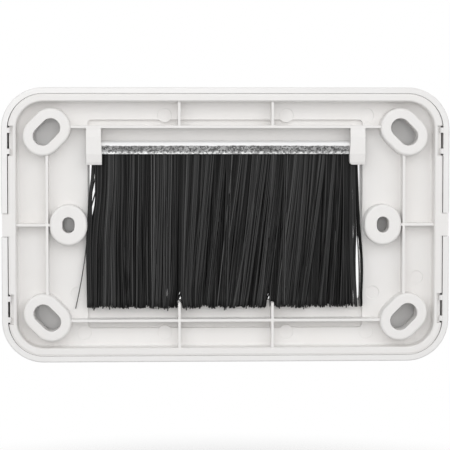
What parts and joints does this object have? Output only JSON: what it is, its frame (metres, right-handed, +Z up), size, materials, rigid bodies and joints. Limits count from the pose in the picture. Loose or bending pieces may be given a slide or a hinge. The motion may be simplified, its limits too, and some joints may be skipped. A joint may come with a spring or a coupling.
{
  "type": "media wall plate",
  "caption": "Wall plate for passing media cables: a clip-on cover over a ribbed moulded base, with a strip brush hanging across its window.",
  "frame": {"origin": "middle of the plate in its rear plane, which lies on the wall, midway between the two side screws", "axes": "+X across the plate, to the right seen from the room; +Y out of the back, into the wall; +Z up, towards the brush channel"},
  "size_m": [0.1194, 0.0105, 0.0734],
  "materials": {
    "cover_plastic": "moulded white plastic, soft gloss",
    "base_plastic": "moulded white plastic, satin",
    "galvanised_steel": "galvanised sheet with a fine spangle",
    "wire_steel": "drawn steel wire",
    "black_nylon": "black nylon filament with a faint sheen"
  },
  "bodies": {
    "root": {"front_cover": "cover_plastic", "base_plate": "base_plastic", "brush_channel": "galvanised_steel", "core_wire": "wire_steel", "bristles": "black_nylon"}
  },
  "joints": []
}
